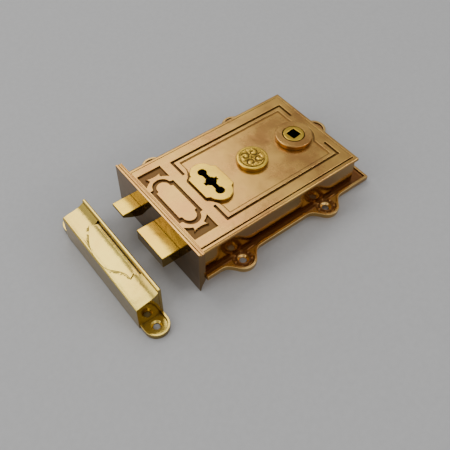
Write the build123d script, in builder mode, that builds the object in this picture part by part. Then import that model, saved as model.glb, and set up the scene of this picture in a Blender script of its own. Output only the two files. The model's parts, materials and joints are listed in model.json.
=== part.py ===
"""Ornamental cast-brass rim lock with a spring latch, a key-driven deadbolt and a box keep.

Units are millimetres.  The origin is the spindle axis where it meets the mounting face.
+X runs from the forend to the spindle end, +Y towards the latch, +Z away from the door.
"""

import math
import os

from build123d import *

os.makedirs("parts", exist_ok=True)

# ---------------------------------------------------------------- driving dimensions
# Case and forend
FACE_X = -124.5  # outer face of the forend
FOREND_T = 5.0
FOREND_Y = (-47.5, 56.0)
LIP_Z = -11.5  # lowest edge of the lip that laps over the door's edge
LIP_T = 0.7
TOP_Z = 30.0
BEAD_HALF_W = 46.5
BEAD_END_X = 24.5
BEAD_W = 3.1
BEAD_TOP_Z = 29.3
BEAD_BOTTOM_Z = 25.3
BEAD_TOP_R = 1.5
BEAD_UNDER_R = 1.6
WALL_HALF_W = 44.4
WALL_END_X = 23.5
WALL_T = 3.0
TOP_T = 3.0
CARVE = 1.6  # depth of the channels in the top face

# Back plate
PLATE_T = 2.5
PLATE_Y = (-49.8, 58.3)
PLATE_END_X = 37.0
RIM_W = 2.0
RIM_H = 1.7
EAR_R = 10.0
EAR_X = (-89.6, -9.6)
EAR_Y = (-51.2, 60.8)
END_EAR = (40.5, 16.0)
EAR_FOOT_REACH = 18.0
EAR_FOOT_RISE = 6.0
SCREW_R = 2.4
SINK_R = 3.8

# Ornament on the top face
CHANNEL_X = (-90.8, 15.7)
CHANNEL_HALF_W = 34.5
CHANNEL_W = 2.0
KEYHOLE_X = -78.8
MEDALLION_X = -40.8
MEDALLION_R = 12.0
ROSE_R = 14.4
ROSE_H = 3.0
ROSE_GAP = 0.7  # open ring between the rose and the follower
PANEL_SIDE_INSET = 4.5
PANEL_END_INSET = 5.5
PANEL_STEP_W = 0.9
PANEL_STEP_H = 0.5
CARTOUCHE = (-108.6, 1.0)
LABEL_CHANNEL_W = 2.4

# Small features
QUIRK_W = 0.8
BOSS_R = 3.4
BOSS_BORE_Z = 13.0
COVER_SCREW_R = 1.5
COVER_HEAD_R = 2.9
LUG = 8.0
RIVET_R = 1.8
RIVET_DEPTH = 6.0
RIVET_SMALL_R = 1.2
PIN_R = 1.0
SHANK_R = 2.2
ESCUTCHEON_T = 1.8
MEDALLION_H = 2.6

# Works
SQUARE = 8.0
SQUARE_TURN = 6.0  # degrees, how the follower stands at rest
JOURNAL_R = 8.0
RUN_GAP = 0.05  # radial clearance of every turning fit
SLIDE_GAP = 0.3
ARM_HALF_W = 4.0
ARM_R = 25.0
ARM_Z = (7.0, 12.0)
BOLT_Z = (3.5, 13.5)
LATCH_Y = (25.0, 39.5)
LATCH_TIP_X = -139.7
LATCH_BACK_X = -100.0
DEAD_Y = (-24.0, 8.0)
DEAD_TIP_X = -139.0
DEAD_TRAVEL = 14.0  # the latch has the same travel
TAIL_Z = (3.2, 5.2)
TAIL_Y = (29.5, 34.5)
ROD_Z = 9.5
ROD_R = 1.4
STOP_X = -62.0
PIVOT = (-52.0, -17.0)
PIVOT_R = 3.0
STUMP_X = -96.0
STUMP = 4.0
LEVER_T = 2.0
LEVER_GAP = 0.3
LEVER_Z0 = 7.0
LEVER_COUNT = 3
GATE = 4.8
HUB_R = 9.5
TAIL_LAP = 10.0
TAIL_RIVET_DX = (3.0, 7.0)
TAIL_RIVET_Z = 8.0
ROD_LAP = 2.5
STOP_T = 3.5
YOKE_X = (-28.5, -23.0)
PRONG_Y = (15.5, 20.0)
FOOT_X = (4.3, 6.3)
SPRING_R = 3.1
SPRING_WIRE_R = 0.45
SPRING_TURNS = 9
DEAD_BACK_X = -118.5
BOLT_LAP = 6.0
BOLT_PLATE_Y = (-24.0, -9.5)
BOLT_PLATE_Z = (3.5, 6.5)
BOLT_RIVET_Y = (-20.0, -13.0)
BOLT_RIVET_Z = 11.0
BOLT_TAIL_X = -44.5
SLOT_R = PIVOT_R + 0.3
STUMP_SHANK_R = 1.5

# Keep
KEEP_X = (-174.0, -154.0)
KEEP_Y = (-45.0, 53.5)
KEEP_Z = -14.0
KEEP_BACK_H = 23.0
KEEP_LIP_H = 30.5
KEEP_LIP_T = 2.5
KEEP_MOUTH_H = 28.0
KEEP_WALL = 2.2
KEEP_EAR_R = 9.3
KEEP_EAR_OFFSET = 6.0
KEEP_EAR_T = 2.5
KEEP_EAR_RIM = 1.6
KEEP_LEAF_H = 0.9
KEEP_SLOT_W = 2.4
KEEP_SLOT_Y = (-25.0, 32.0)
KEEP_SLOT_Z = (11.5, 16.0)
KEEP_MOUTH_Z = (-12.4, 9.6)

# ---------------------------------------------------------------- values worked out from them
FOREND_BACK_X = FACE_X + FOREND_T
INNER_HALF_W = WALL_HALF_W - WALL_T
INNER_END_X = WALL_END_X - WALL_T
CEILING_Z = TOP_Z - TOP_T
FIELD_Z = TOP_Z - 2 * PANEL_STEP_H
LATCH_MID_Y = sum(LATCH_Y) / 2
KEEP_MID_X = sum(KEEP_X) / 2
EAR_HOLES = [(x, y) for x in EAR_X for y in EAR_Y]
COVER_SCREWS = [(-112.0, -37.4), (-46.0, 38.4), (16.0, 36.0), (16.0, -36.0)]
RIVET_SPOTS = [(-34.0, 20.5), (18.0, 20.5)]
TOP_PINS = [(KEYHOLE_X, 16.5), (KEYHOLE_X, -16.5), (MEDALLION_X, 0.0)]
LEVER_TOP_Z = LEVER_Z0 + LEVER_COUNT * LEVER_T + (LEVER_COUNT - 1) * LEVER_GAP


def save(builder, name):
    """Label a finished piece and write it as its own STEP file."""
    builder.part.label = name
    export_step(builder.part, f"parts/{name}.step")


def span(low, high):
    """Centre and length of an interval."""
    return (low + high) / 2, high - low


def block(x, y, z, mode=Mode.ADD):
    """Rectangular block between three pairs of limits."""
    (cx, lx), (cy, ly), (cz, lz) = span(*x), span(*y), span(*z)
    with Locations((cx, cy, cz)):
        Box(lx, ly, lz, mode=mode)


def post(x, y, z, radius, mode=Mode.ADD):
    """Upright cylinder between two heights."""
    cz, height = span(*z)
    with Locations((x, y, cz)):
        Cylinder(radius, height, mode=mode)


def across(x, y, z, radius, mode=Mode.ADD):
    """Cylinder along X between two limits."""
    cx, length = span(*x)
    with Locations((cx, y, z)):
        Cylinder(radius, length, rotation=(0, 90, 0), mode=mode)


# ---------------------------------------------------------------- outlines shared by several pieces
def closed_outline(corner, arcs):
    """Face with two-fold symmetry, from one end's points to the other's."""
    with BuildSketch() as sketch:
        with BuildLine():
            for turn in (1, -1):
                flip = [(turn * x, turn * y) for x, y in corner]
                Line((flip[0][0], -flip[0][1]), flip[0])
                for kind, points in arcs:
                    path = [(turn * x, turn * y) for x, y in points]
                    kind(*path)
        make_face()
    return sketch.sketch


def escutcheon_outline(grow=0.0):
    """Long plate with shouldered sides and rounded ends, centred on the keyhole."""
    side = (12.2 + grow, 10.6 + grow / 2)
    shoulder = (9.2 + grow, 12.4 + grow / 2)
    end = (0, 20.0 + grow)
    steps = [
        (Line, [side, shoulder]),
        (ThreePointArc, [shoulder, end, mirrored(shoulder)]),
        (Line, [mirrored(shoulder), mirrored(side)]),
    ]
    return closed_outline([side], steps)


def cartouche_outline(grow=0.0):
    """Long label with cusped shoulders and round ends, its length along Y."""
    side = (7.3 + grow, 14.2 + 1.5 * grow)
    neck = (5.2 + 0.75 * grow, 15.3 + 1.25 * grow)
    cusp = (neck[0] + 0.4, side[1] + 0.3)
    end = (0, 21.0 + 1.4 * grow)
    steps = [
        (ThreePointArc, [side, cusp, neck]),
        (ThreePointArc, [neck, end, mirrored(neck)]),
        (ThreePointArc, [mirrored(neck), mirrored(cusp), mirrored(side)]),
    ]
    return closed_outline([side], steps)


def mirrored(point):
    """The same point on the other side of the Y axis."""
    return (-point[0], point[1])


def keyhole_outline(grow=0.0):
    """Round centre with two side knuckles and a round lobe at each end of a narrow slot."""
    with BuildSketch() as sketch:
        Circle(3.9 + grow)
        Rectangle(11.0 + 2 * grow, 2.6 + 2 * grow)
        Rectangle(3.4 + 2 * grow, 21.0)
        with Locations((0, 10.7), (0, -10.7)):
            Circle(3.2 + grow)
    return sketch.sketch


def from_forend(half_w, end_x, mid_y=0.0):
    """Rectangle that starts at the forend, centred across the case or on another line."""
    mid_x, length = span(FOREND_BACK_X, end_x)
    with BuildSketch() as sketch:
        with Locations((mid_x, mid_y)):
            Rectangle(length, 2 * half_w)
    return sketch.sketch


def plate_outline(inset=0.0):
    """Back plate with two ears on each long side and one at the spindle end."""
    mid_y, width = span(*PLATE_Y)
    half_w, end_x = width / 2 - inset, PLATE_END_X - inset
    with BuildSketch() as sketch:
        add(from_forend(half_w, end_x, mid_y))
        with Locations(*EAR_HOLES, END_EAR):
            Circle(EAR_R - inset)
        for x, y in EAR_HOLES:
            side = math.copysign(1, y)
            add(ear_foot(x, mid_y + side * half_w, 90 * side))
        add(ear_foot(end_x, END_EAR[1], 0))
    return sketch.sketch


def ear_foot(x, y, facing):
    """Low swell that carries an ear's round end into the straight edge."""
    reach, rise = EAR_FOOT_REACH, EAR_FOOT_RISE
    with BuildSketch(Plane.XY.rotated((0, 0, facing)).shift_origin((x, y, 0))) as sketch:
        with BuildLine():
            for side in (1, -1):
                Spline(
                    (0, side * reach), (rise, 0.5 * side * reach), tangents=[(0, -side), (1, -0.8 * side)]
                )
            Line((rise, 0.5 * reach), (rise, -0.5 * reach))
            Line((0, -reach), (-1, -reach))
            Line((-1, -reach), (-1, reach))
            Line((-1, reach), (0, reach))
        make_face()
    return sketch.sketch


def panel_outline(inset):
    """Sunk field whose ends swell out round the escutcheon and the rose."""
    x0, x1 = CHANNEL_X[0] + PANEL_END_INSET + inset, CHANNEL_X[1] - PANEL_END_INSET - inset
    mid_x, length = span(x0, x1)
    with BuildSketch() as sketch:
        with Locations((mid_x, 0)):
            Rectangle(length, 2 * (CHANNEL_HALF_W - PANEL_SIDE_INSET - inset))
        with Locations((KEYHOLE_X, 0)):
            add(escutcheon_outline(1.2 - inset))
        for side in (-1, 1):
            wide = (x0, side * (22.4 - inset))
            middle = (x0 - 2.2, side * 16.4)
            narrow = (x0 - 6.4, side * 12.0)
            with BuildLine():
                ThreePointArc(wide, middle, narrow)
                Polyline(narrow, (x0, side * 12.0), wide)
            make_face()
        Circle(ROSE_R + 2.0 - inset)
    return sketch.sketch


def channel_outline():
    """Rectangular channel, broken at the escutcheon and at the rose."""
    mid_x, length = span(*CHANNEL_X)
    with BuildSketch() as sketch:
        with Locations((mid_x, 0)):
            Rectangle(length, 2 * CHANNEL_HALF_W)
            inner_w = 2 * (CHANNEL_HALF_W - CHANNEL_W)
            Rectangle(length - 2 * CHANNEL_W, inner_w, mode=Mode.SUBTRACT)
        with Locations((CHANNEL_X[0], 0)):
            Rectangle(12.0, 36.6, mode=Mode.SUBTRACT)
        with Locations((CHANNEL_X[1], 0)):
            Rectangle(12.0, 38.0, mode=Mode.SUBTRACT)
    return sketch.sketch


def spandrel_outline():
    """Sunk corners beyond both ends of the cartouche, each round a leaf with two swept tips."""
    half_w, near, far = 9.8, 22.7, 35.4
    notch, tip, crown = (4.6, 26.4), (6.4, 29.8), (0, 28.5)
    with BuildSketch() as sketch:
        for side in (-1, 1):
            with BuildLine():
                for lean in (-1, 1):
                    root, corner = (lean * half_w, side * near), (lean * half_w, side * far)
                    bay, horn = (lean * notch[0], side * notch[1]), (lean * tip[0], side * tip[1])
                    ThreePointArc(root, (lean * 7.0, side * 25.0), bay)
                    ThreePointArc(bay, (lean * 5.0, side * 28.3), horn)
                    ThreePointArc(horn, (lean * 3.0, side * 28.7), (crown[0], side * crown[1]))
                    Line(root, corner)
                Line((-half_w, side * far), (half_w, side * far))
            make_face()
    return sketch.sketch


# ================================================================ fixed pieces of the case
with BuildPart() as case_cover:
    # Overhanging bead round the three free sides
    with BuildSketch(Plane.XY.offset(BEAD_BOTTOM_Z)):
        add(from_forend(BEAD_HALF_W, BEAD_END_X))
    extrude(amount=BEAD_TOP_Z - BEAD_BOTTOM_Z)
    bead_edges = case_cover.edges().filter_by(lambda e: e.center().X > FOREND_BACK_X + 0.01)
    fillet(bead_edges.group_by(Axis.Z)[-1], radius=BEAD_TOP_R)
    bead_edges = case_cover.edges().filter_by(lambda e: e.center().X > FOREND_BACK_X + 0.01)
    fillet(bead_edges.group_by(Axis.Z)[0], radius=BEAD_UNDER_R)
    # Quirk between the bead and the flat top
    with BuildSketch(Plane.XY.offset(BEAD_TOP_Z - 1.0)):
        add(from_forend(BEAD_HALF_W - BEAD_W, BEAD_END_X - BEAD_W))
    extrude(amount=BEAD_TOP_Z, mode=Mode.SUBTRACT)
    # Flat top
    with BuildSketch(Plane.XY.offset(BEAD_BOTTOM_Z)):
        add(from_forend(BEAD_HALF_W - BEAD_W - QUIRK_W, BEAD_END_X - BEAD_W - QUIRK_W))
    extrude(amount=TOP_Z - BEAD_BOTTOM_Z)
    # Side and end walls, then the hollow for the works
    with BuildSketch(Plane.XY.offset(PLATE_T)):
        add(from_forend(WALL_HALF_W, WALL_END_X))
    extrude(amount=BEAD_BOTTOM_Z + 1.0 - PLATE_T)
    with BuildSketch(Plane.XY.offset(PLATE_T)):
        add(from_forend(INNER_HALF_W, INNER_END_X))
    extrude(amount=CEILING_Z - PLATE_T, mode=Mode.SUBTRACT)
    # Screw bosses in the corners and rivet lugs behind the forend
    for x, y in COVER_SCREWS:
        post(x, y, (PLATE_T, CEILING_Z), BOSS_R)
        post(x, y, (PLATE_T, BOSS_BORE_Z), COVER_SCREW_R, mode=Mode.SUBTRACT)
    for y, z in RIVET_SPOTS:
        lug = (FOREND_BACK_X, FOREND_BACK_X + LUG)
        block(lug, (y - LUG / 2, y + LUG / 2), (z - LUG / 2, CEILING_Z))
        across((lug[0], lug[0] + RIVET_DEPTH), y, z, RIVET_R, mode=Mode.SUBTRACT)
    # Carving in the top face
    with BuildSketch(Plane.XY.offset(TOP_Z - CARVE)):
        add(channel_outline())
        with Locations(CARTOUCHE):
            add(cartouche_outline(LABEL_CHANNEL_W))
            add(cartouche_outline(), mode=Mode.SUBTRACT)
            add(spandrel_outline())
    extrude(amount=CARVE * 2, mode=Mode.SUBTRACT)
    # Inner field, sunk in two steps
    for step in (1, 2):
        with BuildSketch(Plane.XY.offset(TOP_Z - step * PANEL_STEP_H)):
            add(panel_outline((step - 1) * PANEL_STEP_W))
        extrude(amount=CARVE, mode=Mode.SUBTRACT)
    # Keyhole, journal of the follower and pin holes
    with BuildSketch(Plane.XY.offset(CEILING_Z - 1)):
        with Locations((KEYHOLE_X, 0)):
            add(keyhole_outline(0.3))
    extrude(amount=TOP_T * 2, mode=Mode.SUBTRACT)
    post(0, 0, (CEILING_Z - 1, TOP_Z + 1), JOURNAL_R + RUN_GAP, mode=Mode.SUBTRACT)
    for x, y in TOP_PINS:
        post(x, y, (CEILING_Z - 1, TOP_Z + 1), PIN_R, mode=Mode.SUBTRACT)
save(case_cover, "case_cover")

with BuildPart() as back_plate:
    with BuildSketch():
        add(plate_outline())
    extrude(amount=PLATE_T)
    # Raised rim along the free edge
    with BuildSketch(Plane.XY.offset(PLATE_T)):
        add(plate_outline())
        add(plate_outline(RIM_W), mode=Mode.SUBTRACT)
    extrude(amount=RIM_H)
    with Locations(*[(x, y, PLATE_T) for x, y in EAR_HOLES + [END_EAR]]):
        CounterSinkHole(SCREW_R, SINK_R)
    with Locations(*[Location((x, y, 0), (180, 0, 0)) for x, y in COVER_SCREWS]):
        CounterSinkHole(COVER_SCREW_R, COVER_HEAD_R)
    post(0, 0, (-1, PLATE_T + 1), JOURNAL_R + RUN_GAP, mode=Mode.SUBTRACT)
    post(*PIVOT, (-1, PLATE_T + 1), SHANK_R, mode=Mode.SUBTRACT)
    with BuildSketch(Plane.XY.offset(-1)):
        with Locations((KEYHOLE_X, 0)):
            add(keyhole_outline(0.3))
    extrude(amount=PLATE_T + 2, mode=Mode.SUBTRACT)
save(back_plate, "back_plate")

with BuildPart() as forend:
    with BuildSketch(Plane.XZ.offset(-FOREND_Y[0])):
        front, back = FACE_X, FOREND_BACK_X
        lip_top = -1.5
        with BuildLine():
            Polyline(
                (back, lip_top), (back, TOP_Z), (back - 0.8, TOP_Z), (back - 0.8, TOP_Z - 0.6),
                (back - 1.7, TOP_Z - 0.6), (back - 1.7, TOP_Z - 0.1), (back - 2.6, TOP_Z - 0.1),
                (back - 2.6, TOP_Z - 0.7), (front + 1.6, TOP_Z - 0.7), (front + 1.6, TOP_Z + 0.6),
                (front, TOP_Z + 0.6), (front, LIP_Z), (front + LIP_T, LIP_Z),
            )
            ThreePointArc((front + LIP_T, LIP_Z), (front + 2.2, -6.2), (back, lip_top))
        make_face()
    extrude(amount=-(FOREND_Y[1] - FOREND_Y[0]))
    through = (FACE_X - 1, FOREND_BACK_X + 1)
    opening_z = (BOLT_Z[0] - SLIDE_GAP, BOLT_Z[1] + SLIDE_GAP)
    for low, high in (LATCH_Y, DEAD_Y):
        block(through, (low - SLIDE_GAP, high + SLIDE_GAP), opening_z, mode=Mode.SUBTRACT)
    for y, z in RIVET_SPOTS:
        across(through, y, z, RIVET_R, mode=Mode.SUBTRACT)
save(forend, "forend")

with BuildPart() as forend_rivets:
    for y, z in RIVET_SPOTS:
        across((FACE_X, FOREND_BACK_X + RIVET_DEPTH), y, z, RIVET_R)
save(forend_rivets, "forend_rivets")

with BuildPart() as cover_screws:
    for x, y in COVER_SCREWS:
        head_h = (COVER_HEAD_R - COVER_SCREW_R) / math.tan(math.radians(41))
        with Locations((x, y, head_h / 2)):
            Cone(COVER_HEAD_R - 0.02, COVER_SCREW_R - 0.02, head_h)
        post(x, y, (head_h, BOSS_BORE_Z - 1), COVER_SCREW_R - 0.02)
        block((x - 0.4, x + 0.4), (y - 2.4, y + 2.4), (-1, 0.7), mode=Mode.SUBTRACT)
save(cover_screws, "cover_screws")

with BuildPart() as keyhole_plate:
    with BuildSketch(Plane.XY.offset(FIELD_Z)):
        with Locations((KEYHOLE_X, 0)):
            add(escutcheon_outline())
            add(keyhole_outline(), mode=Mode.SUBTRACT)
    extrude(amount=TOP_Z + ESCUTCHEON_T - FIELD_Z)
    fillet(keyhole_plate.edges().group_by(Axis.Z)[-1], radius=0.45)
    for x, y in TOP_PINS[:2]:
        post(x, y, (FIELD_Z - 1, TOP_Z + 1.0), PIN_R, mode=Mode.SUBTRACT)
save(keyhole_plate, "keyhole_plate")

with BuildPart() as keyhole_plate_pins:
    for x, y in TOP_PINS[:2]:
        post(x, y, (CEILING_Z, TOP_Z + 1.0), PIN_R)
save(keyhole_plate_pins, "keyhole_plate_pins")

with BuildPart() as medallion:
    post(MEDALLION_X, 0, (FIELD_Z, TOP_Z + MEDALLION_H), MEDALLION_R)
    fillet(medallion.edges().group_by(Axis.Z)[-1], radius=0.8)
    with BuildSketch(Plane.XY.offset(TOP_Z + MEDALLION_H - 0.4)):
        with Locations((MEDALLION_X, 0)):
            Circle(MEDALLION_R - 2.2)
            Circle(MEDALLION_R - 2.9, mode=Mode.SUBTRACT)
    extrude(amount=1.0, mode=Mode.SUBTRACT)
    post(MEDALLION_X, 0, (FIELD_Z - 1, TOP_Z + 1.2), PIN_R, mode=Mode.SUBTRACT)
save(medallion, "medallion")

with BuildPart() as medallion_pin:
    post(MEDALLION_X, 0, (CEILING_Z, TOP_Z + 1.2), PIN_R)
save(medallion_pin, "medallion_pin")

with BuildPart() as spindle_rose:
    post(0, 0, (FIELD_Z, TOP_Z + ROSE_H), ROSE_R)
    fillet(spindle_rose.edges().group_by(Axis.Z)[-1], radius=0.9)
    post(0, 0, (FIELD_Z - 1, TOP_Z + ROSE_H + 1), JOURNAL_R + ROSE_GAP, mode=Mode.SUBTRACT)
save(spindle_rose, "spindle_rose")

# ================================================================ follower and spring latch
with BuildPart() as follower:
    post(0, 0, (0.2, TOP_Z + ROSE_H + 0.3), JOURNAL_R)
    fillet(follower.edges().group_by(Axis.Z)[-1], radius=0.5)
    post(0, 0, (5.8, 13.2), HUB_R)
    arm_ends = ARM_R - ARM_HALF_W
    block((-ARM_HALF_W, ARM_HALF_W), (-arm_ends, arm_ends), ARM_Z)
    for side in (-1, 1):
        post(0, side * arm_ends, ARM_Z, ARM_HALF_W)
    with BuildSketch():
        Rectangle(SQUARE + 0.1, SQUARE + 0.1, rotation=SQUARE_TURN)
    extrude(amount=2 * TOP_Z, mode=Mode.SUBTRACT)
save(follower, "follower")

with BuildPart() as latch_head:
    tip, back_x = LATCH_TIP_X, LATCH_BACK_X
    bottom, top = BOLT_Z
    with BuildSketch(Plane.XZ.offset(-LATCH_Y[0])):
        with BuildLine():
            Polyline((tip, top - 2.4), (tip, top), (back_x, top), (back_x, bottom), (FACE_X - 1.2, bottom))
            ThreePointArc((FACE_X - 1.2, bottom), (tip + 7.5, bottom + 2.9), (tip, top - 2.4))
        make_face()
    extrude(amount=-(LATCH_Y[1] - LATCH_Y[0]))
    fillet(latch_head.edges().filter_by(Axis.Y).group_by(Axis.X)[0], radius=0.5)
    tail_seat = (back_x - TAIL_LAP, back_x + 1)
    block(tail_seat, TAIL_Y, (bottom - 1, TAIL_Z[1]), mode=Mode.SUBTRACT)
    for dx in TAIL_RIVET_DX:
        post(back_x - dx, LATCH_MID_Y, (TAIL_Z[1] - 1, TAIL_RIVET_Z), RIVET_SMALL_R, mode=Mode.SUBTRACT)
    across((back_x - ROD_LAP, back_x + 1), LATCH_MID_Y, ROD_Z, ROD_R, mode=Mode.SUBTRACT)
save(latch_head, "latch_head")

with BuildPart() as latch_tail:
    block((LATCH_BACK_X - TAIL_LAP, YOKE_X[1]), TAIL_Y, TAIL_Z)
    # Yoke that opens round the follower's hub
    block(YOKE_X, (-PRONG_Y[1], TAIL_Y[1]), TAIL_Z)
    for side in (-1, 1):
        prong_y = sorted((side * PRONG_Y[0], side * PRONG_Y[1]))
        block((YOKE_X[0], FOOT_X[1]), prong_y, TAIL_Z)
        block(FOOT_X, prong_y, (TAIL_Z[0], ARM_Z[1] + 0.5))
    for dx in TAIL_RIVET_DX:
        post(LATCH_BACK_X - dx, LATCH_MID_Y, (0, TAIL_Z[1] + 1), RIVET_SMALL_R, mode=Mode.SUBTRACT)
save(latch_tail, "latch_tail")

with BuildPart() as latch_tail_rivets:
    for dx in TAIL_RIVET_DX:
        post(LATCH_BACK_X - dx, LATCH_MID_Y, (TAIL_Z[0], TAIL_RIVET_Z), RIVET_SMALL_R)
save(latch_tail_rivets, "latch_tail_rivets")

with BuildPart() as latch_spring_rod:
    across((LATCH_BACK_X - ROD_LAP, STOP_X + STOP_T + 4.0), LATCH_MID_Y, ROD_Z, ROD_R)
save(latch_spring_rod, "latch_spring_rod")

with BuildPart() as latch_spring_stop:
    leg_y = (LATCH_MID_Y - 5.4, LATCH_MID_Y + 5.4)
    block((STOP_X, STOP_X + STOP_T), leg_y, (PLATE_T, BOLT_Z[1]))
    gap_y = (TAIL_Y[0] - SLIDE_GAP, TAIL_Y[1] + SLIDE_GAP)
    block((STOP_X - 1, STOP_X + STOP_T + 1), gap_y, (0, TAIL_Z[1] + 0.4), mode=Mode.SUBTRACT)
    across((STOP_X - 1, STOP_X + STOP_T + 1), LATCH_MID_Y, ROD_Z, ROD_R + RUN_GAP, mode=Mode.SUBTRACT)
save(latch_spring_stop, "latch_spring_stop")

with BuildPart() as latch_spring:
    coil_start = (LATCH_BACK_X + SPRING_WIRE_R + 0.1, LATCH_MID_Y, ROD_Z)
    coil_length = STOP_X - LATCH_BACK_X - 2 * SPRING_WIRE_R - 0.2
    with BuildLine() as coil:
        Helix(coil_length / SPRING_TURNS, coil_length, SPRING_R, coil_start, (1, 0, 0))
    with BuildSketch(Plane(coil.line @ 0, z_dir=coil.line % 0)):
        Circle(SPRING_WIRE_R)
    sweep(path=coil.line, is_frenet=True)
save(latch_spring, "latch_spring")

# ================================================================ deadbolt
with BuildPart() as deadbolt_head:
    block((DEAD_TIP_X, DEAD_BACK_X), DEAD_Y, BOLT_Z)
    fillet(deadbolt_head.edges().group_by(Axis.X)[0], radius=0.5)
    seat = (DEAD_BACK_X - BOLT_LAP, DEAD_BACK_X + 1)
    block(seat, BOLT_PLATE_Y, (BOLT_Z[0] - 1, BOLT_PLATE_Z[1]), mode=Mode.SUBTRACT)
    for y in BOLT_RIVET_Y:
        rivet_x = DEAD_BACK_X - BOLT_LAP / 2
        post(rivet_x, y, (BOLT_Z[0], BOLT_RIVET_Z), RIVET_SMALL_R, mode=Mode.SUBTRACT)
save(deadbolt_head, "deadbolt_head")

with BuildPart() as deadbolt_plate:
    block((DEAD_BACK_X - BOLT_LAP, BOLT_TAIL_X), BOLT_PLATE_Y, BOLT_PLATE_Z)
    # Talon that the key's bit enters
    talon_x = KEYHOLE_X - DEAD_TRAVEL / 2
    block((talon_x - 2.3, talon_x + 2.3), (-13.0, BOLT_PLATE_Y[1] + 1), (0, 8), mode=Mode.SUBTRACT)
    # Slot that runs on the lever pivot
    slot_low = PIVOT[0] - DEAD_TRAVEL
    block((slot_low, PIVOT[0]), (PIVOT[1] - SLOT_R, PIVOT[1] + SLOT_R), (0, 8), mode=Mode.SUBTRACT)
    for x in (slot_low, PIVOT[0]):
        post(x, PIVOT[1], (0, 8), SLOT_R, mode=Mode.SUBTRACT)
    post(STUMP_X, PIVOT[1], (0, 8), STUMP_SHANK_R, mode=Mode.SUBTRACT)
    for y in BOLT_RIVET_Y:
        post(DEAD_BACK_X - BOLT_LAP / 2, y, (0, 8), RIVET_SMALL_R, mode=Mode.SUBTRACT)
save(deadbolt_plate, "deadbolt_plate")

with BuildPart() as deadbolt_rivets:
    for y in BOLT_RIVET_Y:
        post(DEAD_BACK_X - BOLT_LAP / 2, y, (BOLT_PLATE_Z[0], BOLT_RIVET_Z), RIVET_SMALL_R)
save(deadbolt_rivets, "deadbolt_rivets")

with BuildPart() as bolt_stump:
    post(STUMP_X, PIVOT[1], BOLT_PLATE_Z, STUMP_SHANK_R)
    stump_x = (STUMP_X - STUMP / 2, STUMP_X + STUMP / 2)
    stump_y = (PIVOT[1] - STUMP / 2, PIVOT[1] + STUMP / 2)
    block(stump_x, stump_y, (BOLT_PLATE_Z[1], LEVER_TOP_Z + 1.0))
save(bolt_stump, "bolt_stump")

with BuildPart() as bolt_spring:
    with BuildSketch(Plane.XY.offset(BOLT_PLATE_Z[0])):
        with BuildLine() as bow:
            ThreePointArc((-106.0, -39.0), (-88.0, BOLT_PLATE_Y[0] - 0.6), (-70.0, -39.0))
        trace(bow.line, line_width=0.5)
    extrude(amount=BOLT_PLATE_Z[1] - BOLT_PLATE_Z[0])
save(bolt_spring, "bolt_spring")

# ================================================================ levers
with BuildPart() as lever_pivot:
    post(*PIVOT, (0.3, PLATE_T), SHANK_R)
    post(*PIVOT, (PLATE_T, LEVER_TOP_Z + 1.5), PIVOT_R)
save(lever_pivot, "lever_pivot")


def lever_sketch():
    """Lever at gate height, with a pocket at each end of the bolt's travel."""
    pocket_w = STUMP + 3.0
    pocket_y = (PIVOT[1] - STUMP / 2 - 5.2, PIVOT[1] + GATE / 2)
    with BuildSketch() as sketch:
        with BuildLine():
            Polyline((-103.0, -15.0), (-103.0, -27.0), (-100.0, -29.5), (-74.0, -29.5))
            Spline((-74.0, -29.5), (-60.0, -24.5), (-50.0, -23.5))
            ThreePointArc((-50.0, -23.5), (-45.6, -17.0), (-50.0, -10.6))
            Line((-50.0, -10.6), (-66.0, -12.0))
            ThreePointArc((-66.0, -12.0), (KEYHOLE_X, -10.4), (-90.0, -12.4))
            Line((-90.0, -12.4), (-103.0, -15.0))
        make_face()
        for x in (STUMP_X, STUMP_X + DEAD_TRAVEL):
            mid_y, depth = span(*pocket_y)
            with Locations((x, mid_y)):
                Rectangle(pocket_w, depth, mode=Mode.SUBTRACT)
        with Locations((STUMP_X + DEAD_TRAVEL / 2, PIVOT[1])):
            Rectangle(DEAD_TRAVEL, GATE, mode=Mode.SUBTRACT)
        with Locations(PIVOT):
            Circle(PIVOT_R + RUN_GAP, mode=Mode.SUBTRACT)
    return sketch.sketch


for number in range(LEVER_COUNT):
    lever_z = LEVER_Z0 + number * (LEVER_T + LEVER_GAP)
    with BuildPart() as lever:
        with BuildSketch(Plane.XY.offset(lever_z)):
            add(lever_sketch())
        extrude(amount=LEVER_T)
    save(lever, f"lever_{number + 1}")
    with BuildPart() as lever_spring:
        with BuildSketch(Plane.XY.offset(lever_z + 0.2)):
            with BuildLine() as leaf:
                foot = (-86.0 + 4 * number, 0.5 - INNER_HALF_W)
                Spline((-57.0, -24.2), (-66.0, -35.0), foot, tangents=[(-0.4, -1), (-1, 0)])
            trace(leaf.line, line_width=0.5)
        extrude(amount=LEVER_T - 0.4)
    save(lever_spring, f"lever_spring_{number + 1}")

# ================================================================ keep
KEEP_EARS = [(KEEP_MID_X, KEEP_Y[0] - KEEP_EAR_OFFSET), (KEEP_MID_X, KEEP_Y[1] + KEEP_EAR_OFFSET)]
BOX_FRONT_X = KEEP_X[1] - KEEP_LIP_T


def keep_section(shrink):
    """Side view of the box: upright back, ogee top that rises to the mouth, open towards +X."""
    base, back, front = KEEP_Z, KEEP_X[0] + shrink, BOX_FRONT_X
    back_top = base + KEEP_BACK_H - shrink
    mouth_top = base + KEEP_MOUTH_H - shrink
    knee = (back + 1.3, back_top)
    with BuildSketch(Plane.XZ.offset(-KEEP_Y[0] - shrink)) as sketch:
        with BuildLine():
            Polyline((front, mouth_top), (front, base), (back, base), (back, back_top - 1.2))
            ThreePointArc((back, back_top - 1.2), (back + 0.4, back_top - 0.3), knee)
            middle = (back + 8.0, back_top + 1.2 - 0.1 * shrink)
            Spline(knee, middle, (front, mouth_top), tangents=[(1, 0.35), (1, 1.1)])
        make_face()
    return sketch.sketch


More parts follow.
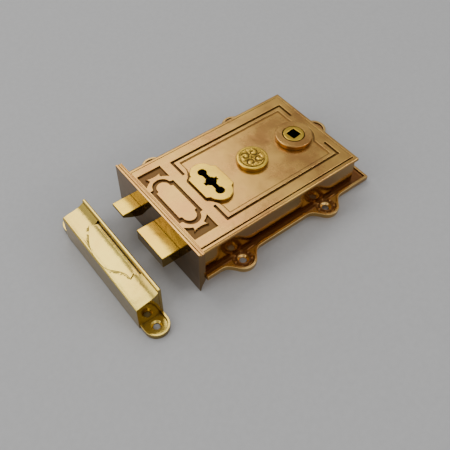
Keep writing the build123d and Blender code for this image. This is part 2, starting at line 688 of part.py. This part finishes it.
def keep_ears(z, inset):
    """Round lugs beyond both ends of the box, carried back to it."""
    width = 2 * (KEEP_EAR_R - inset)
    with BuildSketch(Plane.XY.offset(z)) as sketch:
        for (x, y), root in zip(KEEP_EARS, KEEP_Y):
            mid_y, length = span(*sorted((root, y)))
            with Locations((x, y)):
                Circle(width / 2)
            with Locations((x, mid_y)):
                Rectangle(width, length)
    return sketch.sketch


def keep_leaf():
    """Plan of the raised leaf on the box's top: pointed at one end and cut square at the other."""
    tip, heel, toe = (-162.4, 34.4), (-164.2, -23.0), (-160.6, -21.2)
    edge_x = BOX_FRONT_X - KEEP_SLOT_W + 0.4  # just over the slot, which trims it
    with BuildSketch(Plane.XY.offset(KEEP_Z + KEEP_BACK_H - 4.0)) as sketch:
        with BuildLine():
            Spline(tip, (-166.6, 28.0), (-172.0, 17.0), (-173.6, 4.0), (-171.5, -6.7), (-167.2, -12.6), heel)
            Line(heel, toe)
            Spline(toe, (edge_x, -11.0), (edge_x, 24.0), tip)
        make_face()
    return sketch.sketch


with BuildPart() as keep_box:
    box_y = KEEP_Y[1] - KEEP_Y[0]
    extrude(keep_section(0), amount=-box_y)
    # Leaf that follows the ogee, standing a little above it
    with BuildPart(mode=Mode.PRIVATE) as leaf_blank:
        extrude(keep_section(0).moved(Location((0, 0, KEEP_LEAF_H))), amount=-box_y)
        extrude(keep_leaf(), amount=14.0, mode=Mode.INTERSECT)
    add(leaf_blank.part)
    # Slot between the top and the lip
    block((BOX_FRONT_X - KEEP_SLOT_W, BOX_FRONT_X), KEEP_SLOT_Y, KEEP_SLOT_Z, mode=Mode.SUBTRACT)
    # Ears with a raised rim, then the pocket for the bolts
    extrude(keep_ears(KEEP_Z, 0), amount=KEEP_EAR_T + RIM_H)
    with BuildPart(mode=Mode.PRIVATE) as ear_floor:
        extrude(keep_ears(KEEP_Z + KEEP_EAR_T, KEEP_EAR_RIM), amount=RIM_H)
        block((KEEP_X[0] - 1, KEEP_X[1] + 1), KEEP_Y, (KEEP_Z, 0), mode=Mode.SUBTRACT)
    add(ear_floor.part, mode=Mode.SUBTRACT)
    extrude(keep_section(KEEP_WALL), amount=2 * KEEP_WALL - box_y, mode=Mode.SUBTRACT)
    with Locations(*[(x, y, KEEP_Z + KEEP_EAR_T) for x, y in KEEP_EARS]):
        CounterSinkHole(SCREW_R, SINK_R)
save(keep_box, "keep_box")

with BuildPart() as keep_lip:
    block((BOX_FRONT_X, KEEP_X[1]), KEEP_Y, (KEEP_Z, KEEP_Z + KEEP_LIP_H))
    fillet(keep_lip.edges().group_by(Axis.Z)[-1].filter_by(Axis.Y), radius=1.0)
    mouth_y = (KEEP_Y[0] + KEEP_WALL + 1.5, KEEP_Y[1] - KEEP_WALL - 1.5)
    block((BOX_FRONT_X - 1, KEEP_X[1] + 1), mouth_y, KEEP_MOUTH_Z, mode=Mode.SUBTRACT)
save(keep_lip, "keep_lip")
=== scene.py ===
"""Looks for the ornamental brass rim lock.

Rounded shells stand for the CAD nodes.  Cast relief, brass and steel materials and a studio are added.
"""

import json
import math

import bmesh
import bpy
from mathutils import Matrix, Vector, noise


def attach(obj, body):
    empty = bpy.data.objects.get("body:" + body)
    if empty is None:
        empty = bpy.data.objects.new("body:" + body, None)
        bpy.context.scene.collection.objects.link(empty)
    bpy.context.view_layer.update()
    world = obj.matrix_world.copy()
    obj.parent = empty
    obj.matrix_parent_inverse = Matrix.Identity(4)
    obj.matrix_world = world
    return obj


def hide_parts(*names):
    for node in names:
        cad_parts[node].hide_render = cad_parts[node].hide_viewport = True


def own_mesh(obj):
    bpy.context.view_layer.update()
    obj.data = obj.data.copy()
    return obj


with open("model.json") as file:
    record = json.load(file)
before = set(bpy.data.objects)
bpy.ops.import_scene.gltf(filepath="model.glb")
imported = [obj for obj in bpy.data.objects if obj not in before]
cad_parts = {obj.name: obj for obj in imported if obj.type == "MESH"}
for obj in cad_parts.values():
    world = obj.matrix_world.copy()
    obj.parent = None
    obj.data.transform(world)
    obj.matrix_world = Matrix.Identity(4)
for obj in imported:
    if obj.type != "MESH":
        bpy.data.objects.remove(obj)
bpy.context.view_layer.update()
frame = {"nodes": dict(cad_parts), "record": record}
NODES = frame["nodes"]
SLOTS = {row["node"]: row["material_slot"] for row in frame["record"]["subparts"]}
BODIES = frame["record"]["behaviour"]["bodies"]
MM = 0.001
FULL_TURN = 2 * math.pi

# -------------------------------- sizes in the CAD's frame, millimetres
PLATE_TOP = 2.5
RIM_W = 2.0
PLATE_Y = (-49.8, 58.3)
PLATE_END_X = 37.0
FOREND_BACK_X = -119.5
WALL_HALF_W = 44.4
WALL_END_X = 23.5
EAR_R = 10.0
END_EAR = (40.5, 16.0)
EARS = [(x, y) for x in (-89.6, -9.6) for y in (-51.2, 60.8)] + [END_EAR]
SINK_R = 3.8
MEDALLION = (-40.8, 0.0)
MEDALLION_TOP = 32.6
SPRING_X = (-99.4, -62.6)
SPRING_AXIS = (32.25, 9.5)
SPRING_R = 3.1
SPRING_WIRE_R = 0.45
SPRING_TURNS = 9
LIP = (-124.5, -11.5)  # lowest edge of the forend, its X and Z

# -------------------------------- palette
GOLD = (0.92, 0.55, 0.14)
TAN = (0.66, 0.33, 0.10)
YELLOW = (1.00, 0.66, 0.08)
DEEP_YELLOW = (0.82, 0.48, 0.07)
PALE = (1.00, 0.75, 0.16)
DEEP_PALE = (0.84, 0.56, 0.12)
WARM = (0.98, 0.64, 0.22)
DEEP_WARM = (0.76, 0.43, 0.13)
COPPER = (0.66, 0.34, 0.11)
DEEP_COPPER = (0.34, 0.14, 0.040)
SHADE = (0.10, 0.065, 0.028)
BROWN = (0.060, 0.022, 0.007)
CARVED_BROWN = (0.125, 0.060, 0.022)
RUST = (0.20, 0.075, 0.018)
BRIGHT_STEEL = (0.52, 0.50, 0.47)
DULL_STEEL = (0.30, 0.28, 0.26)
BLUED = (0.22, 0.25, 0.33)
DARK_BLUED = (0.12, 0.13, 0.17)

# Patina and painted shade by height: full below the first height, none above the second, its share, and
# limits of X and Y
CARVING = (28.45, 28.75, 0.80, ((-130.0, 21.7), (-43.6, 43.6)))
RELIEF_FLOOR = (2.85, 3.65, 0.95, ((-130.0, 60.0), (-70.0, 70.0)))
MEDALLION_FLOOR = (32.74, 33.02, 0.90, ((-60.0, -20.0), (-20.0, 20.0)))
# Painted shade round one height, for dark lines along the panel's steps: the height, how far it reaches,
# its share, and limits of X and Y
STEP_TIER = (29.5, 0.42, 0.75, ((-100.0, 17.0), (-31.0, 31.0)))
# Share of the patina and painted shade in the hollows
GRIME_AND_SHADE = 0.9

# Sockets of the colour Mix node, which share their names with other sockets
MIX_FACTOR, MIX_A, MIX_B, MIX_RESULT = 0, 6, 7, 2


# ================================ materials
def new_material(name):
    """Empty node material with its output and Principled shader."""
    material = bpy.data.materials.new(name)
    material.use_nodes = True
    tree = material.node_tree
    tree.nodes.clear()
    output = tree.nodes.new("ShaderNodeOutputMaterial")
    shader = tree.nodes.new("ShaderNodeBsdfPrincipled")
    tree.links.new(shader.outputs["BSDF"], output.inputs["Surface"])
    return material, tree, shader


def node(tree, kind, inputs=None, **settings):
    """Add a shader node, set its properties, and link or set its inputs."""
    made = tree.nodes.new(kind)
    for key, value in settings.items():
        setattr(made, key, value)
    for key, value in (inputs or {}).items():
        if isinstance(value, bpy.types.NodeSocket):
            tree.links.new(value, made.inputs[key])
        else:
            made.inputs[key].default_value = value
    return made


def cloud(tree, vector, scale, detail, roughness=0.5):
    """Factor of a noise texture."""
    inputs = {"Vector": vector, "Scale": scale, "Detail": detail, "Roughness": roughness}
    return node(tree, "ShaderNodeTexNoise", inputs).outputs["Fac"]


def bump(tree, height, strength, depth, normal=None):
    """Normal shaped by a height texture whose full range is depth millimetres."""
    inputs = {"Height": height, "Strength": strength, "Distance": depth * MM}
    if normal is not None:
        inputs["Normal"] = normal
    return node(tree, "ShaderNodeBump", inputs).outputs["Normal"]


def ramp(tree, factor, stops):
    """Colour ramp between two (position, colour) stops."""
    made = node(tree, "ShaderNodeValToRGB", {"Fac": factor})
    for element, (position, colour) in zip(made.color_ramp.elements, stops):
        element.position = position
        element.color = (*colour, 1.0)
    return made.outputs["Color"]


def grey(value):
    """A neutral colour."""
    return (value, value, value)


def mix(tree, factor, base, colour):
    """Blend a colour socket towards a fixed colour."""
    made = node(tree, "ShaderNodeMix", data_type="RGBA")
    tree.links.new(factor, made.inputs[MIX_FACTOR])
    tree.links.new(base, made.inputs[MIX_A])
    made.inputs[MIX_B].default_value = (*colour, 1.0)
    return made.outputs[MIX_RESULT]


def math_node(tree, operation, a, b=None, clamp=False):
    """One scalar operation."""
    made = node(tree, "ShaderNodeMath", operation=operation, use_clamp=clamp)
    for index, value in ((0, a), (1, b)):
        if isinstance(value, bpy.types.NodeSocket):
            tree.links.new(value, made.inputs[index])
        elif value is not None:
            made.inputs[index].default_value = value
    return made.outputs[0]


def inside(tree, axes, limits):
    """1 within the given X and Y limits in millimetres, else 0."""
    factor = None
    for axis, (low, high) in zip("XY", limits):
        for operation, bound in (("GREATER_THAN", low), ("LESS_THAN", high)):
            test = math_node(tree, operation, axes[axis], bound * MM)
            factor = test if factor is None else math_node(tree, "MULTIPLY", factor, test)
    return factor


def hollow_patina_and_shade(tree, fine, reach):
    """Patina with painted shade where the surface is closed in within reach millimetres, broken up at its
    edge.
    """
    closed = node(tree, "ShaderNodeAmbientOcclusion", {"Distance": reach * MM}, samples=12)
    hollow = math_node(tree, "SUBTRACT", 1.0, closed.outputs["AO"])
    broken = math_node(tree, "SUBTRACT", math_node(tree, "MULTIPLY", fine, 0.5), 0.25)
    hollow = math_node(tree, "ADD", hollow, broken)
    amount = ramp(tree, hollow, [(0.30, grey(0.0)), (0.72, grey(1.0))])
    return math_node(tree, "MULTIPLY", amount, GRIME_AND_SHADE, clamp=True)


def low_patina_and_shade(tree, axes, full, none, share, limits):
    """Patina and painted shade that reach their share below the height full and fade out at the height
    none.
    """
    depth = math_node(tree, "SUBTRACT", none * MM, axes["Z"])
    low = math_node(tree, "DIVIDE", depth, (none - full) * MM, clamp=True)
    low = math_node(tree, "MULTIPLY", low, inside(tree, axes, limits))
    return math_node(tree, "MULTIPLY", low, share)


def tier_shade(tree, axes, middle, reach, share, limits):
    """Painted shade that reaches its share at the height middle and fades out at reach above and below."""
    away = math_node(tree, "ABSOLUTE", math_node(tree, "SUBTRACT", axes["Z"], middle * MM))
    away = math_node(tree, "DIVIDE", away, reach * MM)
    near = math_node(tree, "SUBTRACT", 1.0, away, clamp=True)
    near = math_node(tree, "MULTIPLY", near, inside(tree, axes, limits))
    return math_node(tree, "MULTIPLY", near, share)


def uprightness(tree):
    """1 on upright faces, falling to 0 well before level ones."""
    normal = node(tree, "ShaderNodeNewGeometry").outputs["Normal"]
    up = node(tree, "ShaderNodeSeparateXYZ", {"Vector": normal}).outputs["Z"]
    tilt = math_node(tree, "MULTIPLY", math_node(tree, "ABSOLUTE", up), 1.7)
    return math_node(tree, "SUBTRACT", 1.0, tilt, clamp=True)


def scratches(tree, spot):
    """Long faint handling marks in two directions."""
    strokes = []
    for turn, scale in ((0.5, (60.0, 1600.0, 60.0)), (2.3, (1400.0, 70.0, 70.0))):
        inputs = {"Vector": spot, "Rotation": (0.0, 0.0, turn), "Scale": scale}
        turned = node(tree, "ShaderNodeMapping", inputs).outputs["Vector"]
        strokes.append(cloud(tree, turned, 1.0, 3.0))
    return math_node(tree, "MULTIPLY", *strokes)


def brass(name, light, deep, patina_shade_colour, rough=0.24, reach=2.2, wall_dark=0.6, sunk=None, tier=None, seed=0.0):
    """Polished cast brass: cloudy tones, brown patina with painted shade in hollows, scratches and casting
    unevenness.

    wall_dark sets painted shade on the upright faces.  sunk adds patina and painted shade by height, and
    tier adds painted shade round one height.
    """
    material, tree, shader = new_material(name)
    where = node(tree, "ShaderNodeTexCoord").outputs["Object"]
    axes = node(tree, "ShaderNodeSeparateXYZ", {"Vector": where}).outputs
    shift = (seed, seed * 0.7, seed * 1.3)
    spot = node(tree, "ShaderNodeMapping", {"Vector": where, "Location": shift}).outputs["Vector"]
    clouds = cloud(tree, spot, 38.0, 5.0, 0.55)
    tone = ramp(tree, clouds, [(0.34, deep), (0.66, light)])

    # Patina with painted shade in the hollows and low places
    amount = hollow_patina_and_shade(tree, cloud(tree, spot, 420.0, 6.0, 0.65), reach)
    if sunk:
        amount = math_node(tree, "MAXIMUM", amount, low_patina_and_shade(tree, axes, *sunk))
    # Painted shade round one height, along the panel's steps
    if tier:
        amount = math_node(tree, "MAXIMUM", amount, tier_shade(tree, axes, *tier))
    # Painted shade: upright faces are darkened patchily towards SHADE
    upright = uprightness(tree)
    patchy = math_node(tree, "ADD", 0.75, math_node(tree, "MULTIPLY", clouds, 0.5))
    wall_shading = math_node(tree, "MULTIPLY", upright, patchy)
    wall_shading = math_node(tree, "MULTIPLY", wall_shading, wall_dark, clamp=True)
    colour = mix(tree, wall_shading, mix(tree, amount, tone, patina_shade_colour), SHADE)
    tree.links.new(colour, shader.inputs["Base Color"])

    # Patina and painted shade are duller and less metallic, and upright faces are smoother
    scratch = scratches(tree, spot)
    spread = ramp(tree, clouds, [(0.25, grey(rough * 0.8)), (0.75, grey(rough * 1.35))])
    smoother = math_node(tree, "SUBTRACT", 1.0, math_node(tree, "MULTIPLY", upright, 0.5))
    spread = math_node(tree, "MULTIPLY", spread, smoother)
    dull = math_node(tree, "ADD", spread, math_node(tree, "MULTIPLY", amount, 0.28))
    marked = math_node(tree, "ADD", dull, math_node(tree, "MULTIPLY", scratch, 0.10), clamp=True)
    tree.links.new(marked, shader.inputs["Roughness"])
    metal = math_node(tree, "SUBTRACT", 1.0, math_node(tree, "MULTIPLY", amount, 0.25))
    tree.links.new(metal, shader.inputs["Metallic"])

    cast = bump(tree, cloud(tree, spot, 75.0, 2.0), 0.16, 1.2)
    tree.links.new(bump(tree, scratch, 0.10, 0.12, cast), shader.inputs["Normal"])
    return material


def steel(name, light, deep, rough, seed=0.0):
    """Drawn or ground steel with a fine directional grain and darker stains."""
    material, tree, shader = new_material(name)
    where = node(tree, "ShaderNodeTexCoord").outputs["Object"]
    shift = (seed, seed, seed)
    spot = node(tree, "ShaderNodeMapping", {"Vector": where, "Location": shift}).outputs["Vector"]
    stains = cloud(tree, spot, 160.0, 6.0, 0.6)
    tree.links.new(ramp(tree, stains, [(0.35, deep), (0.62, light)]), shader.inputs["Base Color"])
    drawn = node(tree, "ShaderNodeMapping", {"Vector": spot, "Scale": (120.0, 2400.0, 2400.0)})
    grain = cloud(tree, drawn.outputs["Vector"], 1.0, 3.0)
    spread = ramp(tree, grain, [(0.3, grey(rough * 0.8)), (0.7, grey(rough * 1.3))])
    tree.links.new(spread, shader.inputs["Roughness"])
    shader.inputs["Metallic"].default_value = 1.0
    tree.links.new(bump(tree, grain, 0.15, 0.1), shader.inputs["Normal"])
    return material


def studio_paper(name):
    """Pale matt paper with a very faint fibre."""
    material, tree, shader = new_material(name)
    where = node(tree, "ShaderNodeTexCoord").outputs["Object"]
    fibre = cloud(tree, where, 260.0, 5.0)
    tone = ramp(tree, fibre, [(0.3, grey(0.60)), (0.7, grey(0.63))])
    tree.links.new(tone, shader.inputs["Base Color"])
    tree.links.new(bump(tree, fibre, 0.08, 0.2), shader.inputs["Normal"])
    shader.inputs["Roughness"].default_value = 0.9
    return material


# wall_dark sets how much painted shade each brass gets on its upright faces
BRASS_SLOTS = {
    "case_brass": (GOLD, TAN, CARVED_BROWN, {"wall_dark": 0.70, "sunk": CARVING, "tier": STEP_TIER}),
    "plate_brass": (WARM, DEEP_WARM, RUST, {"reach": 3.0, "seed": 0.3}),
    "forend_brass": (GOLD, TAN, BROWN, {"rough": 0.18, "wall_dark": 0.85, "seed": 0.6}),
    "yellow_brass": (YELLOW, DEEP_YELLOW, BROWN, {"rough": 0.2, "wall_dark": 0.7, "seed": 0.9}),
    "bolt_brass": (YELLOW, DEEP_YELLOW, BROWN, {"rough": 0.17, "wall_dark": 0.8, "seed": 1.2}),
    "keep_brass": (PALE, DEEP_PALE, BROWN, {"rough": 0.17, "reach": 4.5, "wall_dark": 0.75, "seed": 1.5}),
}
MATERIALS = {slot: brass(slot, *tones, **finish) for slot, (*tones, finish) in BRASS_SLOTS.items()}
MATERIALS["steel"] = steel("steel", BRIGHT_STEEL, DULL_STEEL, 0.3)
MATERIALS["spring_steel"] = steel("spring_steel", BLUED, DARK_BLUED, 0.25, seed=0.4)
FOLIAGE_BRASS = brass(
    "foliage_brass", COPPER, DEEP_COPPER, RUST,
    rough=0.22, wall_dark=0.35, reach=2.0, sunk=RELIEF_FLOOR, seed=2.1,
)
ORNAMENT_BRASS = brass(
    "ornament_brass", YELLOW, DEEP_YELLOW, BROWN,
    rough=0.22, wall_dark=0.3, reach=0.8, sunk=MEDALLION_FLOOR, seed=2.6,
)
for name, piece in NODES.items():
    piece.data.materials.clear()
    piece.data.materials.append(MATERIALS[SLOTS[name]])


# ================================ mesh helpers
def add_piece(name, mesh, body, slot, material=None):
    """Link a finished mesh as a piece that rides on a CAD body."""
    piece = bpy.data.objects.new(name, mesh)
    bpy.context.scene.collection.objects.link(piece)
    mesh.materials.clear()
    mesh.materials.append(material or MATERIALS[slot])
    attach(piece, body)
    return piece


def body_of_node(name):
    """The CAD body that lists a node."""
    return next(body for body, members in BODIES.items() if name in members)


# A face that meets a neighbour at an angle between these belongs to a curved surface
GENTLE = (math.radians(0.2), math.radians(25.0))
SHARP = math.radians(32.0)
WELD = 1e-6


def refined(name, bevel_mm):
    """Copy of a CAD node with its sharp outer edges rounded, which stands for it."""
    mesh = NODES[name].data.copy()
    mesh.name = f"{name}_rounded"
    work = bmesh.new()
    work.from_mesh(mesh)
    bmesh.ops.remove_doubles(work, verts=work.verts, dist=WELD)
    for face in work.faces:
        face.smooth = any(GENTLE[0] < edge.calc_face_angle(0.0) < GENTLE[1] for edge in face.edges)
    weight = work.edges.layers.float.new("bevel_weight_edge")
    for edge in work.edges:
        edge[weight] = float(edge.is_convex and edge.calc_face_angle(0.0) > SHARP)
    work.to_mesh(mesh)
    work.free()
    if "custom_normal" in mesh.attributes:
        mesh.attributes.remove(mesh.attributes["custom_normal"])
    piece = add_piece(f"{name}_rounded", mesh, body_of_node(name), SLOTS[name])
    bevel = piece.modifiers.new("rounding", "BEVEL")
    bevel.width = bevel_mm * MM
    bevel.segments = 3
    bevel.limit_method = "WEIGHT"
    bevel.loop_slide = False
    bevel.harden_normals = True
    bevel.use_clamp_overlap = False
    normals = piece.modifiers.new("normals", "WEIGHTED_NORMAL")
    normals.keep_sharp = True
    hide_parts(name)


def smooth_step(value, low, high):
    """0 below low, 1 above high, and a smooth rise between them."""
    share = min(1.0, max(0.0, (value - low) / (high - low)))
    return share * share * (3 - 2 * share)


def mound(distance, width):
    """1 at no distance, falling away like a bell over the given width."""
    return math.exp(-((distance / width) ** 2))


def relief(name, slot, material, limits, step, base, shape):
    """Height field on the case: shape(x, y) gives its height above base, or None where there is none."""
    (x0, x1), (y0, y1) = limits
    columns, rows = int((x1 - x0) / step) + 1, int((y1 - y0) / step) + 1
    work = bmesh.new()
    grid = {}
    for i in range(columns):
        for j in range(rows):
            x, y = x0 + i * step, y0 + j * step
            height = shape(x, y)
            if height is not None:
                grid[i, j] = work.verts.new((x * MM, y * MM, (base + height) * MM))
    for (i, j), corner in grid.items():
        others = [grid.get(key) for key in ((i + 1, j), (i + 1, j + 1), (i, j + 1))]
        if all(others):
            work.faces.new((corner, *others)).smooth = True
    loose = [v for v in work.verts if not v.link_faces]
    bmesh.ops.delete(work, geom=loose, context="VERTS")
    mesh = bpy.data.meshes.new(name)
    work.to_mesh(mesh)
    work.free()
    add_piece(name, mesh, "case", slot, material)


# ================================ rounded shells round the CAD nodes
ROUNDING = {
    "case_cover": 0.25,
    "back_plate": 0.40,
    "forend": 0.30,
    "keyhole_plate": 0.25,
    "medallion": 0.25,
    "spindle_rose": 0.25,
    "follower": 0.25,
    "latch_head": 0.35,
    "deadbolt_head": 0.40,
    "keep_box": 0.22,
    "keep_lip": 0.45,
}
for name, width in ROUNDING.items():
    refined(name, width)


# ================================ cast foliage on the back plate's ledges and ears
LEDGE_STEP = 0.35
WALL_LAP = 0.2  # how far the relief runs under the case walls
EAR_LEAVES = 7


def leaf(x, y, root, heading, length, width):
    """Height of one pointed leaf with a mid rib, which starts at its root."""
    dx, dy = x - root[0], y - root[1]
    along = (dx * math.cos(heading) + dy * math.sin(heading)) / length
    across = (-dx * math.sin(heading) + dy * math.cos(heading)) / width
    if not 0.0 < along < 1.0:
        return 0.0
    half = math.sin(math.pi * along ** 0.75)
    if abs(across) >= half:
        return 0.0
    fall = 1.0 - (across / half) ** 2
    rib = 0.35 * mound(across, 0.2)
    veins = 0.12 * math.cos(across * 9.0 + along * 16.0)
    return fall ** 0.7 * (0.8 + veins) + rib * fall


def ear_foliage(x, y, centre):
    """Leaves that spread out from a screw hole, with a raised ring next to the countersink."""
    dx, dy = x - centre[0], y - centre[1]
    radius, angle = math.hypot(dx, dy), math.atan2(dy, dx)
    ring = mound(radius - SINK_R - 0.7, 0.35)
    lobes = (0.5 + 0.5 * math.cos(5 * angle + 0.6)) * mound(radius - 6.6, 1.1)
    height = 0.6 * ring + 0.45 * lobes
    for turn in range(EAR_LEAVES):
        heading = turn * FULL_TURN / EAR_LEAVES + 0.35
        root = (5.2 * math.cos(heading), 5.2 * math.sin(heading))
        height = max(height, 0.75 * leaf(dx, dy, root, heading, 10.5, 2.1))
    return height


def plate_edge_distance(x, y):
    """Rough distance in from the back plate's rim, positive inside, with the ears' circles joined on."""
    inset = RIM_W + 0.1
    body = min(y - PLATE_Y[0], PLATE_Y[1] - y, PLATE_END_X - x) - inset
    ears = max(EAR_R - inset - math.hypot(x - ex, y - ey) for ex, ey in EARS)
    return max(body, ears)


def ledge_height(x, y):
    """Foliage on the ledge outside the case walls, tapered to nothing at the rim and the screw holes."""
    if abs(y) < WALL_HALF_W - WALL_LAP and x < WALL_END_X - WALL_LAP:
        return None
    edge = plate_edge_distance(x, y)
    if edge < 0:
        return None
    ear = min(EARS, key=lambda e: math.hypot(x - e[0], y - e[1]))
    gap = math.hypot(x - ear[0], y - ear[1])
    if gap < SINK_R + 0.15:
        return None
    ornament = ear_foliage(x, y, ear) * (1 - smooth_step(gap, 12.0, 17.0))
    cove = 1.0 - smooth_step(edge, 0.2, 1.8)
    height = 0.55 * cove + ornament * (1 - 0.6 * cove)
    rough = 0.14 * noise.noise(Vector((x * 0.9, y * 0.9, 3.7)))
    taper = smooth_step(edge, 0.0, 0.7) * smooth_step(gap, SINK_R + 0.1, SINK_R + 0.6)
    return -0.15 + (0.32 + 1.05 * height + rough) * taper


wall_y = WALL_HALF_W - WALL_LAP
side_run = (FOREND_BACK_X, WALL_END_X + WALL_LAP)
LEDGES = {
    "near": (side_run, (PLATE_Y[0] - EAR_R, -wall_y)),
    "far": (side_run, (wall_y, PLATE_Y[1] + EAR_R + 4.0)),
    "end": ((WALL_END_X, END_EAR[0] + EAR_R), PLATE_Y),
}
for side, limits in LEDGES.items():
    piece_name = f"ledge_foliage_{side}"
    relief(piece_name, "plate_brass", FOLIAGE_BRASS, limits, LEDGE_STEP, PLATE_TOP, ledge_height)


# ================================ ornament on the medallion
ORNAMENT_STEP = 0.16
ORNAMENT_R = 9.4
ORNAMENT_HALF_W = 9.6
SCROLLS = 4


def medallion_height(x, y):
    """Engraved scrolls round a small central flower, with a ring of beads."""
    dx, dy = x - MEDALLION[0], y - MEDALLION[1]
    radius, angle = math.hypot(dx, dy), math.atan2(dy, dx)
    if radius > ORNAMENT_R:
        return None
    flower = (0.55 + 0.45 * math.cos(5 * angle)) * mound(radius, 2.6)
    depth = flower + 0.5 * mound(radius, 0.8)
    for turn in range(SCROLLS):
        heading = FULL_TURN * (turn + 0.5) / SCROLLS
        px, py = dx - 5.0 * math.cos(heading), dy - 5.0 * math.sin(heading)
        spiral = math.hypot(px, py)
        swirl = math.atan2(py, px) - heading
        if spiral < 3.9:
            depth = max(depth, 0.9 * mound(spiral - 1.1 - 0.42 * (swirl % FULL_TURN), 0.75))
        aside = heading + 0.8
        root = (2.2 * math.cos(aside), 2.2 * math.sin(aside))
        depth = max(depth, 0.8 * leaf(dx, dy, root, aside, 6.4, 1.2))
    beads = 0.5 * mound(radius - 8.4, 0.45) * (0.5 + 0.5 * math.cos(30 * angle))
    left = 1.0 - min(1.0, max(depth, beads))
    rough = 0.06 * noise.noise(Vector((x * 1.3, y * 1.3, 9.1)))
    taper = smooth_step(9.3 - radius, 0.0, 0.4)
    return 0.04 + (0.55 * left + rough) * taper


disc = [(centre - ORNAMENT_HALF_W, centre + ORNAMENT_HALF_W) for centre in MEDALLION]
relief(
    "medallion_ornament", "yellow_brass", ORNAMENT_BRASS,
    disc, ORNAMENT_STEP, MEDALLION_TOP, medallion_height,
)


# ================================ latch spring
def coil(name):
    """Helical spring along X with closed ends, as one tube mesh."""
    curve = bpy.data.curves.new(name, "CURVE")
    curve.dimensions = "3D"
    curve.bevel_depth = SPRING_WIRE_R * MM
    curve.bevel_resolution = 4
    steps = SPRING_TURNS * 24
    spline = curve.splines.new("POLY")
    spline.points.add(steps)
    start, end = SPRING_X
    for index, point in enumerate(spline.points):
        share = index / steps
        eased = share - 0.035 * math.sin(FULL_TURN * share)
        angle = FULL_TURN * SPRING_TURNS * share
        x = start + (end - start) * eased
        y = SPRING_AXIS[0] + SPRING_R * math.cos(angle)
        z = SPRING_AXIS[1] + SPRING_R * math.sin(angle)
        point.co = (x * MM, y * MM, z * MM, 1.0)
    holder = bpy.data.objects.new(f"{name}_curve", curve)
    bpy.context.scene.collection.objects.link(holder)
    bpy.context.view_layer.update()
    mesh = bpy.data.meshes.new_from_object(holder.evaluated_get(bpy.context.evaluated_depsgraph_get()))
    bpy.data.objects.remove(holder)
    mesh.name = name
    for face in mesh.polygons:
        face.use_smooth = True
    return mesh


spring = add_piece("latch_spring_coil", coil("latch_spring_coil"), "case", "spring_steel")
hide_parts("latch_spring")
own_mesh(spring)


# ================================ floor, light and camera
EAR_TIP_X = END_EAR[0] + EAR_R
TILT = math.atan2(-LIP[1], EAR_TIP_X - LIP[0])
FLOOR_DROP = 0.2  # millimetres, so that no resting edge pokes through
SWEEP_HEADING = math.radians(51.5)
SWEEP_NEAR, SWEEP_FAR = -2.0, 2.6  # metres in front of the lock and behind it
COVE_R = 0.7
COVE_STEPS = 16

MIDDLE = (-0.06, 0.0, 0.02)
LAMP_COLOUR = (1.0, 0.98, 0.95)
SKY_COLOUR = (0.80, 0.81, 0.83, 1.0)


def sweep_profile():
    """Points along and up the sweep: level ground, a quarter-round cove, then an upright back."""
    points = [(SWEEP_NEAR + 0.1 * i, 0.0) for i in range(int((SWEEP_FAR - SWEEP_NEAR) / 0.1) + 1)]
    for i in range(1, COVE_STEPS + 1):
        angle = i * math.pi / 2 / COVE_STEPS
        points.append((SWEEP_FAR + COVE_R * math.sin(angle), COVE_R * (1 - math.cos(angle))))
    return points + [(SWEEP_FAR + COVE_R, COVE_R + 0.2 * i) for i in range(1, 14)]


def sweep_floor():
    """Pale ground under the lock's lip and plate, carried on far behind as a smooth cove."""
    work = bmesh.new()
    rows = []
    for along, up in sweep_profile():
        row = []
        for j in range(-20, 21):
            out = 0.16 * j
            x = along * math.cos(SWEEP_HEADING) - out * math.sin(SWEEP_HEADING)
            y = along * math.sin(SWEEP_HEADING) + out * math.cos(SWEEP_HEADING)
            ground = (x - EAR_TIP_X * MM) * math.tan(TILT) - FLOOR_DROP * MM
            row.append(work.verts.new((x, y, ground + up)))
        rows.append(row)
    for near, far in zip(rows, rows[1:]):
        for a, b, c, d in zip(near, near[1:], far[1:], far):
            work.faces.new((a, b, c, d)).smooth = True
    bmesh.ops.recalc_face_normals(work, faces=work.faces)
    mesh = bpy.data.meshes.new("studio_sweep")
    work.to_mesh(mesh)
    work.free()
    piece = bpy.data.objects.new("studio_sweep", mesh)
    bpy.context.scene.collection.objects.link(piece)
    mesh.materials.append(studio_paper("studio_paper"))


def softbox(name, at, size, watts):
    """Rectangular area light that faces the middle of the lock."""
    lamp = bpy.data.lights.new(name, "AREA")
    lamp.shape = "RECTANGLE"
    lamp.size, lamp.size_y = size
    lamp.energy = watts
    lamp.color = LAMP_COLOUR
    holder = bpy.data.objects.new(name, lamp)
    holder.location = at
    holder.rotation_mode = "QUATERNION"
    holder.rotation_quaternion = (Vector(MIDDLE) - Vector(at)).to_track_quat("-Z", "Y")
    bpy.context.scene.collection.objects.link(holder)


sweep_floor()
softbox("key_back", (0.0, 0.76, 1.10), (1.10, 0.50), 4.4)
softbox("fill_left", (-1.2, 0.25, 0.7), (0.9, 0.9), 4.0)
softbox("fill_front", (-0.2, -1.3, 0.75), (1.0, 0.6), 1.6)
softbox("strip_right", (0.60, -0.90, 0.62), (0.50, 0.12), 1.5)

world = bpy.data.worlds.new("studio")
world.use_nodes = True
sky = world.node_tree.nodes["Background"]
sky.inputs["Color"].default_value = SKY_COLOUR
sky.inputs["Strength"].default_value = 0.55
bpy.context.scene.world = world

camera_data = bpy.data.cameras.new("camera")
camera_data.sensor_width = 36.0
camera_data.lens = 49.966
camera_data.clip_start, camera_data.clip_end = 0.01, 20.0
camera = bpy.data.objects.new("camera", camera_data)
camera.location = (-0.25949, -0.24404, 0.36083)
camera.rotation_euler = [math.radians(a) for a in (38.6667, -0.4776, -37.8676)]
bpy.context.scene.collection.objects.link(camera)
bpy.context.scene.camera = camera
